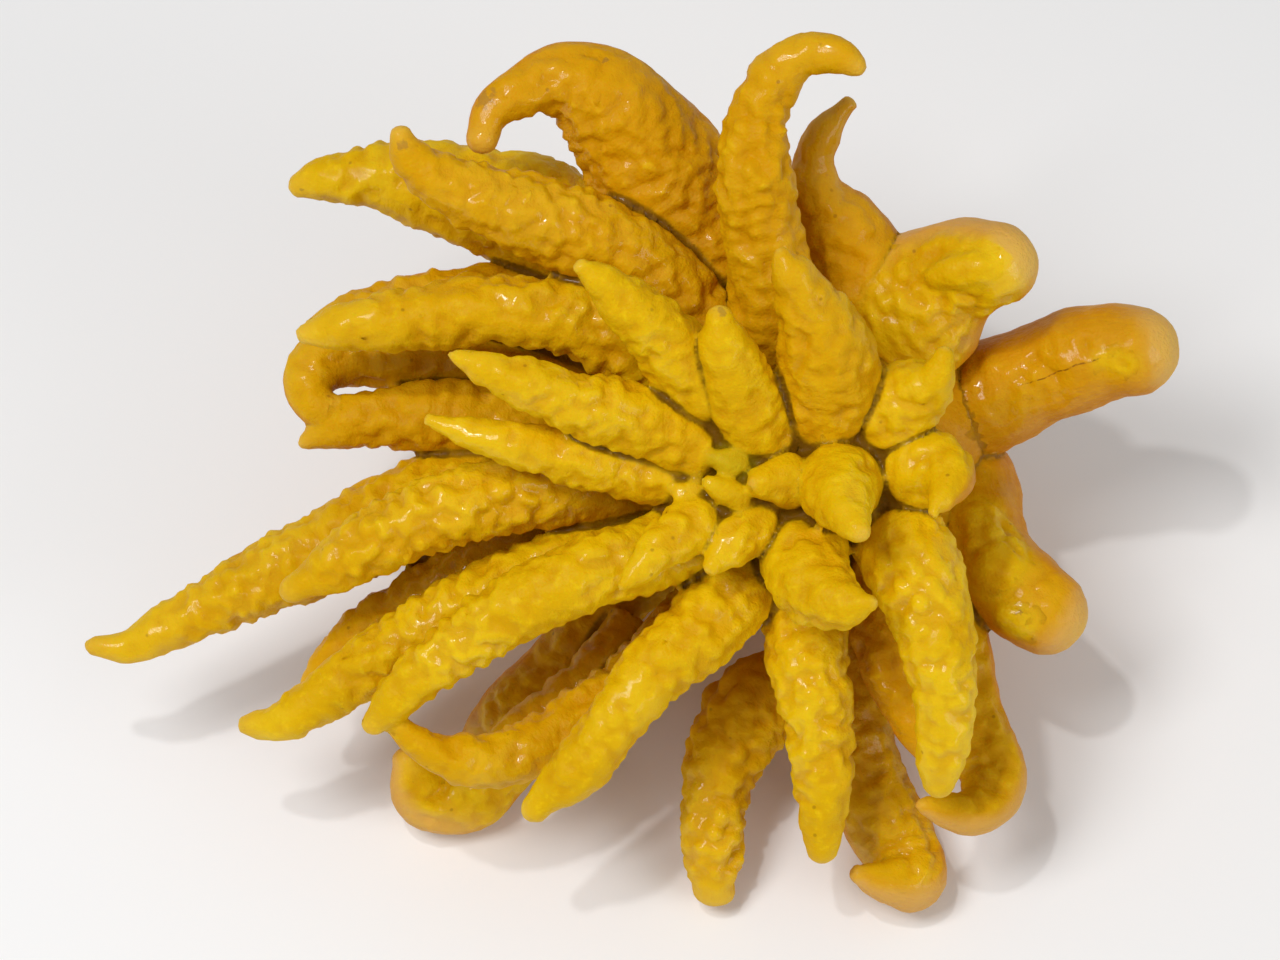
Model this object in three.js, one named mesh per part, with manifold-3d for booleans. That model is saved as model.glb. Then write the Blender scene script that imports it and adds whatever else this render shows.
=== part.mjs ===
// Buddha's hand citron: a single fruit whose rind parts into more than forty tapering fingers.
// They leave one rounded body, splay out from a hollow called the heart, and several hook over at the tip.
// A cut stalk with its calyx sits in the hollow at the back of the body. Lengths are in millimetres.
import * as THREE from "three";
import { mergeVertices } from "three/addons/utils/BufferGeometryUtils.js";
import Module from "manifold-3d";

// Lying pose, in degrees: how far the face of the hand leans back from looking straight up.
const FACE_TILT = 31.7;
// Depth of the small flats where the weight of the fruit presses it on the surface.
const REST_FLAT = 0.8;

// Facets of the solids.
const FINGER_SIDES = 8;
const BODY_SIDES = 32;
const RING_SPACING = 8.5;
const TIP_RINGS = 2;

// The body runs from the stalk end to the heart. Its profile is [share of its length, radius], and its
// rind swells into lobes, one over the root of each outer finger.
const STALK_END = new THREE.Vector3(14, 17, -107);
const HEART = new THREE.Vector3(2, 0, -14);
const BODY_PROFILE = [
  [0.01, 7], [0.03, 15.5], [0.08, 26], [0.16, 36.5], [0.26, 44.5], [0.38, 48.5], [0.5, 48.5],
  [0.62, 45], [0.76, 37], [0.88, 26], [0.97, 11],
];
const BODY_LOBES = 8;
const LOBE_RELIEF = 0.03;

// The stalk stands in a socket in the stalk end: a calyx disc, then a short cut twig. Its profile is
// [height, radius], and the gap keeps it clear of the rind.
const STALK_SINK = 2.5;
const STALK_GAP = 0.35;
const STALK_PROFILE = [[0, 6.2], [2.6, 7.4], [4, 6.6], [4.8, 3.9], [7, 3.1], [11, 3.4]];
const STALK_SIDES = 20;

// Each finger is a route of stations [x, y, z, radius], from its root inside the body to its tip, in the
// face frame: x to the right, y up and z out of the face, with the origin over the heart.
const FINGERS = {
  // Upper fingers.
  broad_hook: [[3, 18, -48, 17], [-11, 42, -34, 17.8], [-22.5, 62.5, -24, 17.6], [-33, 77, -16, 15.4],
    [-41.5, 86.3, -10, 13.3], [-51.2, 90, -6, 9], [-60, 87, -3, 6.2], [-66.8, 82, -1, 4.5],
    [-68.5, 76.5, 0, 3.7]],
  tall_hook: [[4, 12, -34, 12], [1, 30, -14, 11], [-2, 45, -4, 10.3], [-4.8, 60, 2, 9.3],
    [-6, 70, 6, 8.8], [-4.9, 81, 8, 7.5], [-0.8, 89.5, 10, 6.4], [5.5, 93.9, 12, 5.4],
    [12.4, 94, 14, 4.4], [16.3, 91.6, 15, 2.9]],
  knuckled: [[14, 16, -45, 14], [18, 34, -38, 14.5], [20, 46, -32, 13.5], [14.2, 58, -27, 10.4],
    [9.5, 66, -24, 6.5], [8.9, 73, -22, 4.7], [11.4, 79.3, -20, 4], [16.6, 85.5, -18, 2.3]],
  folded_upper: [[12, 12, -55, 18], [25, 30, -40, 17], [34.8, 40.6, -30, 17.2], [44, 47, -22, 12.8],
    [51, 47.8, -16, 10.2]],
  folded_upper_nose: [[52, 47.7, -14, 7], [48, 47.6, -10.6, 5.6], [43.5, 46.8, -11, 4.8],
    [39.5, 46, -12.4, 4.2], [37, 45.2, -13.4, 3.3]],
  // Right-hand fingers.
  folded_right: [[28, 8, -60, 22], [45, 15, -52, 15.5], [60, 21.3, -44, 13], [74, 27, -38, 12.4],
    [80, 28.2, -35, 12], [85, 28.4, -32, 11]],
  folded_right_nose: [[86, 27, -31, 8], [83, 26.8, -27.5, 7], [80, 26.7, -26.6, 5],
    [77.8, 26.7, -26.6, 3.6]],
  folded_lower: [[36, -3, -60, 26], [45.8, -6, -54, 15.6], [50.5, -21.5, -42, 12.4],
    [59.2, -29.8, -33, 11.4], [64.4, -33.4, -30.5, 10.4]],
  folded_lower_nose: [[64, -33.5, -31, 8], [60.5, -34.2, -28, 6.6], [57.2, -33.9, -26.8, 5],
    [55, -33.4, -26.8, 3.9]],
  beak: [[14, 6, -20, 11], [23, 12, -3, 10.4], [30, 17, 5, 9], [35.2, 21, 11, 5.4], [36.6, 26, 14, 2.3]],
  thorn: [[18, -3, -22, 11], [27, 0, -8, 10.5], [34, 0.5, 1, 9.5], [38, -1.5, 9, 6.6],
    [36.4, -6.3, 15, 3.7], [34.4, -9, 17, 1.9]],
  thumb: [[16, 0, -22, 12.5], [13.6, -2.4, -4, 12.6], [12.5, -4, 9, 9.2], [14, -8.5, 20, 6.6],
    [16.3, -13, 27, 3.5]],
  // Lower fingers.
  snout: [[6, -8, -22, 11], [5, -17, -4, 11], [7, -25, 9, 9.9], [12, -30, 18, 7.2], [16, -30.4, 23, 4.5],
    [18.9, -29.8, 25, 2.5]],
  lower_right: [[22, -8, -22, 11], [28, -17, -5, 11.4], [33.5, -30, 2, 10.5], [36.5, -42, 4, 8.8],
    [37.5, -55, 3, 7.2], [37, -66, 0, 6], [36.8, -71.5, -2, 4.2]],
  outer_hook: [[34, -12, -45, 14], [40, -30, -40, 10], [43.5, -46, -36, 8.5], [48, -62, -32, 8.5],
    [51.8, -74.6, -28, 7.8], [48, -79.9, -23, 6], [40.3, -80, -18, 4.4], [34.5, -78.6, -15, 2.3]],
  tucked_right: [[20, -15, -35, 11], [24, -34, -28, 8], [29, -50, -24, 7], [33, -61, -22, 5],
    [35, -66.5, -21, 2.8]],
  foot_hook: [[14, -20, -50, 14], [17, -42, -47, 9.5], [20, -62, -46, 8.6], [24, -78.5, -45, 10],
    [30.5, -91, -44, 10], [32.7, -98, -38, 8.2], [26.5, -98, -33, 5.2], [20.5, -96, -30, 2.8]],
  heel: [[-2, 6, -60, 14], [-22, -4, -80, 13], [-33, -13, -90, 11.5], [-42, -22, -89, 8.6],
    [-49, -30, -84, 4.5]],
  lower_middle: [[4, -12, -28, 12], [6, -30, -17, 11], [7.3, -45, -12, 9.9], [9.3, -58, -12, 8.7],
    [10.3, -71, -14, 7.5], [10.3, -81.5, -17, 5.9], [10.6, -88.2, -19, 4.1]],
  foot_straight: [[12, -18, -50, 12], [11, -38, -46, 9], [4.5, -50, -43, 9.2], [-6, -57.4, -41, 11.4],
    [-10.8, -67, -39, 10.4], [-13.8, -76, -38, 8.7], [-15, -85, -38, 8], [-14.4, -93, -39, 7.3],
    [-14.2, -99.3, -40, 5.3]],
  lower_left: [[-2, -14, -24, 11], [-10.4, -27.4, -10, 10.2], [-19, -37.6, -2, 9.2],
    [-29.6, -46.6, 2, 8.2], [-37.3, -56.5, 3, 7.4], [-45, -66.7, 1, 6.9], [-52.3, -73.9, -1, 5.2],
    [-56.2, -77.8, -2, 3.6]],
  crescent: [[-6, -17, -40, 9], [-15, -29, -34, 8], [-25, -41, -28, 8], [-36, -51.5, -24, 8],
    [-47, -59, -19, 7.8], [-56, -64.5, -16, 7.4], [-66, -68, -13, 6.8], [-76, -66.7, -10, 5.4],
    [-84, -63, -7, 3.8], [-89, -58.5, -5, 2]],
  foot_curl: [[-8, -6, -50, 11], [-27, -20, -48, 10], [-40.5, -33, -48, 8.6], [-50, -47, -50, 9.4],
    [-60.5, -60.5, -51, 10.8], [-70, -73.6, -52, 10.6], [-77.6, -79.2, -51, 9.9], [-84.2, -79, -48, 7.9],
    [-87.3, -73.7, -45, 5.5], [-88.6, -69.8, -43, 3.3]],
  ridge: [[-34, -36, -40, 6], [-44, -50, -35, 6.3], [-55, -58, -32, 5.8], [-66, -64, -31, 3.2]],
  // Left-hand fingers.
  long_left: [[-4, -6, -24, 10], [-18, -14, -8, 9.3], [-32, -20, 0, 9], [-46, -24.5, 4, 8.8],
    [-60, -31.5, 4, 8.3], [-73, -39.5, 2, 7.3], [-83, -47, -1, 6.3], [-90, -54.2, -3, 5],
    [-93.4, -58, -4, 3.2]],
  short_left: [[-8, -6, -14, 8.5], [-17, -11, 2, 7.5], [-25, -16, 11, 6], [-32, -22, 15, 3.8],
    [-35.7, -25.9, 17, 1.8]],
  short_lower: [[0, -8, -16, 9], [-5.5, -11.4, 0.5, 8.1], [-11, -16.7, 8, 5.9], [-15.4, -21.3, 12, 2.6]],
  shaded_left: [[-10, -8, -45, 10], [-40, -16, -36, 9], [-68, -22.5, -30, 9.5], [-85.6, -31.5, -30, 7.5],
    [-99.5, -41, -30, 7], [-109.5, -50, -30, 3.6]],
  swept_left: [[-8, -10, -34, 9], [-35, -18, -20, 8.5], [-58, -25.5, -15, 8.5], [-79, -35, -15, 8.3],
    [-96, -46, -17, 7.7], [-109, -55, -19, 5.9], [-118, -59.7, -20, 4.7], [-124, -60, -21, 2.8]],
  longest: [[-12, 0, -45, 11], [-45, -1, -38, 10.5], [-72, -4.5, -34, 11.2], [-90, -11, -32, 11.3],
    [-106, -19, -31, 10.4], [-121, -25.4, -30, 9], [-133.5, -32, -30, 7.5], [-144, -37.5, -30, 6],
    [-154, -42, -30, 4.2], [-161.8, -41.6, -30, 2.4]],
  blunt_left: [[-8, -3, -32, 9], [-40, -4, -18, 8.8], [-60, -5.5, -10, 9], [-75, -8.5, -6, 8.8],
    [-88, -14, -5, 8.4], [-98, -19, -5, 7.2], [-107, -24.3, -6, 5.3], [-113, -27.7, -7, 3.1]],
  slim_left: [[-6, 0, -22, 8], [-20, -1.6, -3, 7.4], [-34, 0, 2, 7.2], [-48, 3, 6, 6.8],
    [-60, 5.5, 8, 5.8], [-72, 8.5, 9, 3.6], [-80, 11.3, 9, 1.6]],
  pointed_left: [[-4, 2, -18, 8.5], [-16.5, 3.8, 1, 8], [-30, 10, 8, 8.2], [-42, 14, 14, 7.9],
    [-54, 18, 18, 6.6], [-64, 21.5, 20, 4.6], [-70.5, 24, 21, 2.8], [-74, 25.5, 21, 1.5]],
  thick_left: [[-4, 8, -34, 10], [-22, 20, -16, 10], [-36, 29, -8, 9.2], [-50, 35, -4, 9],
    [-65, 37, -3, 8.2], [-80, 35.3, -4, 7.9], [-94, 34, -5, 6.7], [-104.5, 32.5, -6, 4.6],
    [-109, 31.7, -6, 2.8]],
  back_left: [[-8, 14, -50, 11], [-40, 33, -43, 10], [-57, 39, -39, 9], [-71, 41.5, -36, 8],
    [-83, 40.3, -35, 7.6], [-95, 38.2, -34, 6.9], [-104.5, 36, -33, 5], [-109.5, 34, -32, 3]],
  curled_left: [[-10, 6, -55, 11], [-45, 20, -48, 9], [-72, 25.5, -43, 8], [-90, 26.5, -39, 7.6],
    [-103.5, 27, -36, 7.6], [-109.6, 24.5, -33, 7.2], [-111, 19.4, -31, 5.8], [-108.2, 15, -29, 5],
    [-104, 14.6, -28, 3.1]],
  under_left: [[-10, 2, -50, 10], [-45, 8, -37, 9], [-71, 12, -31, 9.6], [-90, 12.6, -30, 8],
    [-102.5, 11.2, -30, 6.3], [-110.8, 7.2, -30, 2.8]],
  // Upper left fingers.
  far_cone: [[-2, 16, -52, 12], [-30, 42, -44, 13.3], [-57, 60.9, -40, 14.2], [-72, 65.6, -39, 12.2],
    [-83, 68.5, -38, 10.8], [-93, 70.3, -37, 9], [-103, 70, -36, 6.8], [-110, 69.3, -36, 4.9],
    [-114, 68, -36, 2.8]],
  near_cone: [[-2, 12, -40, 12], [-16, 30, -22, 11.5], [-28, 43.5, -12, 11.3], [-42, 53, -5, 11],
    [-56, 58, 0, 9.8], [-70, 62.5, 3, 8.2], [-79.5, 67, 6, 6.2], [-84.8, 72, 9, 4.4],
    [-86.5, 76, 11, 2.6]],
  twin_long: [[-2, 4, -16, 10], [-12, 14, 0, 9.5], [-20, 22, 9, 9.2], [-28, 31, 17, 8.3],
    [-35.8, 37.6, 23, 6.4], [-41.5, 42.4, 27, 4.2], [-45, 44.8, 29, 2.1]],
  twin_short: [[1, 4, -9, 11], [-5.5, 10.4, 3, 10], [-10, 20, 13, 8.4], [-12.8, 27, 20, 6.2],
    [-13.9, 31, 23, 4.6], [-14.2, 33.3, 24, 3.5]],
  sail: [[9, 5, -13, 12], [10, 12.6, -1.5, 11.8], [11, 23, 7, 12], [8.3, 32, 16, 9.8], [4, 40, 22, 6.8],
    [0.7, 45.4, 26, 4], [-0.6, 47.8, 27, 2.2]],
  // Stunted fingers in the heart.
  green_bud: [[-4, -1, -14, 5], [-7.5, 0.6, 3, 5], [-11.8, 1.9, 8, 4.2], [-15.6, 2.9, 9, 2.3]],
  leaf_bud: [[-3, -8, -12, 4.5], [-8.3, -6.2, 5, 4.3], [-12.8, -4.6, 10, 3.5], [-17, -2.6, 12, 1.7]],
  grain_bud: [[-8, -6, -14, 4], [-14.4, -4.9, 1, 4.2], [-19.2, -5, 5, 3.7], [-23, -5.2, 6, 2.4]],
  cone_bud: [[8, -4, -16, 10], [4.4, -2.6, 1, 8.2], [0, -2.4, 8, 6.4], [-3.8, -2.8, 11, 4]],
  bead_bud: [[-4, -5, -12, 3.5], [-7.2, -2.8, 4, 2.9], [-7.4, -2.5, 6.5, 2.3]],
};

const wasm = await Module();
wasm.setup();

// A closed geometry as a manifold-3d solid.
function solidOf(geometry) {
  const bare = geometry.clone();
  bare.deleteAttribute("normal");
  bare.deleteAttribute("uv");
  const merged = mergeVertices(bare, 1e-3);
  return new wasm.Manifold(new wasm.Mesh({
    numProp: 3,
    vertProperties: merged.attributes.position.array,
    triVerts: new Uint32Array(merged.index.array),
  }));
}

// A manifold-3d solid as a geometry.
function geometryOf(solid) {
  const mesh = solid.getMesh();
  const geometry = new THREE.BufferGeometry();
  geometry.setAttribute("position", new THREE.BufferAttribute(mesh.vertProperties, 3));
  geometry.setIndex(new THREE.BufferAttribute(mesh.triVerts, 1));
  geometry.computeVertexNormals();
  return geometry;
}

// The radius at share t of a route's stations, eased between neighbours.
function radiusAt(route, t) {
  const place = t * (route.length - 1);
  const from = Math.min(Math.floor(place), route.length - 2);
  return THREE.MathUtils.lerp(route[from][3], route[from + 1][3], place - from);
}

// A finger: turned straight on a lathe with a round tip, then bent along its route.
function fingerGeometry(route) {
  const centre = new THREE.CatmullRomCurve3(route.map(([x, y, z]) => new THREE.Vector3(x, y, z)));
  const length = centre.getLength();
  const rings = Math.max(3, Math.round(length / RING_SPACING));
  const profile = [new THREE.Vector2(0, 0)];
  for (let i = 0; i <= rings; i++) {
    const share = i / rings;
    profile.push(new THREE.Vector2(radiusAt(route, centre.getUtoTmapping(share)), share * length));
  }
  const tip = route[route.length - 1][3];
  for (let i = 1; i <= TIP_RINGS; i++) {
    const angle = (i / (TIP_RINGS + 1)) * (Math.PI / 2);
    profile.push(new THREE.Vector2(tip * Math.cos(angle), length + tip * Math.sin(angle)));
  }
  profile.push(new THREE.Vector2(0, length + tip));
  const straight = new THREE.LatheGeometry(profile, FINGER_SIDES);

  const frames = centre.computeFrenetFrames(rings, false);
  const at = straight.attributes.position;
  const point = new THREE.Vector3();
  for (let i = 0; i < at.count; i++) {
    const along = at.getY(i);
    const ring = Math.min(rings, Math.round((along / length) * rings));
    point.copy(centre.getPointAt(ring / rings));
    point.addScaledVector(frames.tangents[ring], along - (ring / rings) * length);
    point.addScaledVector(frames.binormals[ring], at.getX(i));
    point.addScaledVector(frames.normals[ring], at.getZ(i));
    at.setXYZ(i, point.x, point.y, point.z);
  }
  return straight;
}

// Turns a geometry made along +Y so that it runs from the stalk end towards the heart, or away from it.
function alongBody(geometry, from, away) {
  const axis = new THREE.Vector3().subVectors(HEART, STALK_END).normalize();
  if (away) axis.negate();
  geometry.applyQuaternion(new THREE.Quaternion().setFromUnitVectors(new THREE.Vector3(0, 1, 0), axis));
  geometry.translate(from.x, from.y, from.z);
  return geometry;
}

// The body: a turned form whose rind swells into lobes that fade out at both ends.
function bodyGeometry() {
  const length = HEART.distanceTo(STALK_END);
  const profile = [new THREE.Vector2(0, 0)];
  for (const [share, radius] of BODY_PROFILE) profile.push(new THREE.Vector2(radius, share * length));
  profile.push(new THREE.Vector2(0, length));
  const body = new THREE.LatheGeometry(profile, BODY_SIDES);
  const at = body.attributes.position;
  for (let i = 0; i < at.count; i++) {
    const fade = Math.sin(Math.PI * (at.getY(i) / length));
    const swell = 1 + LOBE_RELIEF * fade * Math.cos(BODY_LOBES * Math.atan2(at.getX(i), at.getZ(i)));
    at.setX(i, at.getX(i) * swell);
    at.setZ(i, at.getZ(i) * swell);
  }
  return alongBody(body, STALK_END, false);
}

// The stalk's turned form, grown outwards by a margin.
function stalkGeometry(margin) {
  const base = new THREE.Vector3().subVectors(HEART, STALK_END).setLength(STALK_SINK).add(STALK_END);
  const top = STALK_PROFILE[STALK_PROFILE.length - 1][0];
  const profile = [new THREE.Vector2(0, -margin)];
  for (const [height, radius] of STALK_PROFILE) {
    const raised = height === 0 ? -margin : height;
    profile.push(new THREE.Vector2(radius + margin, raised));
  }
  profile.push(new THREE.Vector2(0, top));
  return alongBody(new THREE.LatheGeometry(profile, STALK_SIDES), base, true);
}

// The fruit is one solid: the body with every finger joined to it, less the socket of the stalk.
const pieces = [bodyGeometry(), ...Object.values(FINGERS).map(fingerGeometry)].map(solidOf);
const joined = wasm.Manifold.union(pieces).subtract(solidOf(stalkGeometry(STALK_GAP)));

// Laid on its back edge, with the face of the hand leaning back, and pressed slightly flat underneath.
const laid = joined.rotate([FACE_TILT, 0, 0]);
const floor = laid.boundingBox().min[2] + REST_FLAT;
const pressed = laid.trimByPlane([0, 0, 1], floor);

// Pockets closed in between crowded fingers are filled, as the rind fills them.
const whole = pressed.decompose().reduce((best, piece) => (piece.volume() > best.volume() ? piece : best));

const root = new THREE.Group();

const fruit = new THREE.Mesh(
  geometryOf(whole),
  new THREE.MeshStandardMaterial({ color: 0xe3ad0b, roughness: 0.42, metalness: 0 }),
);
fruit.name = "fruit";
root.add(fruit);

const stalk = new THREE.Mesh(
  geometryOf(solidOf(stalkGeometry(0)).rotate([FACE_TILT, 0, 0])),
  new THREE.MeshStandardMaterial({ color: 0x6f6b36, roughness: 0.8, metalness: 0 }),
);
stalk.name = "stalk";
root.add(stalk);

// The origin is on the surface, under the middle of the fruit.
const box = new THREE.Box3().setFromObject(root);
root.position.set(-(box.min.x + box.max.x) / 2, -(box.min.y + box.max.y) / 2, -box.min.z);

export default root;
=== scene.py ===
import math

import bpy
import numpy as np
from mathutils import Matrix, Vector, noise


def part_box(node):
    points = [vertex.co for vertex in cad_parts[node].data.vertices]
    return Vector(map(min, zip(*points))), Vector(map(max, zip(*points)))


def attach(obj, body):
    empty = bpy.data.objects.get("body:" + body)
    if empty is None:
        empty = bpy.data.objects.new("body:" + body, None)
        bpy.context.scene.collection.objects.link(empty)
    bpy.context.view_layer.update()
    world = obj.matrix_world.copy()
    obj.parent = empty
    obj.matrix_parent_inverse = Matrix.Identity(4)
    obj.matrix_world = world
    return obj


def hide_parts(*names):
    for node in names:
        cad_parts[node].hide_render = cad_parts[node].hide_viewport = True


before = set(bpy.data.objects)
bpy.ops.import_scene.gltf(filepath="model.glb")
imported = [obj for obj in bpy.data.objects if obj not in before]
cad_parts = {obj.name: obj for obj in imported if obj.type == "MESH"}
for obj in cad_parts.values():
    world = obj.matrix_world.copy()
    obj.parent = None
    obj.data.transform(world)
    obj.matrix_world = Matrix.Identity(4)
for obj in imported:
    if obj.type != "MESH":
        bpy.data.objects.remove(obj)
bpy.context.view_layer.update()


# The fingers. A buddha's hand citron is one fruit whose segments part as it grows, so the rind closes
# round each of them: more than forty tapering fingers, several hooked or folded over at the end.
# Each leaves the body thick, and narrows to a blunt tip.
MM = 0.001
FACE_TILT = math.radians(31.7)
CURVE_STEPS = 24
RING_STEP = 1.6 * MM
RING_SIDES = 28
LEAST_RINGS = 4
TIP_TURNS = np.radians([22, 42, 60, 74, 84])
GIRTH_WAVE = 13 * MM
GIRTH_CHANGE = 0.07
FINGER_SHIFT = 7.3

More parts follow.
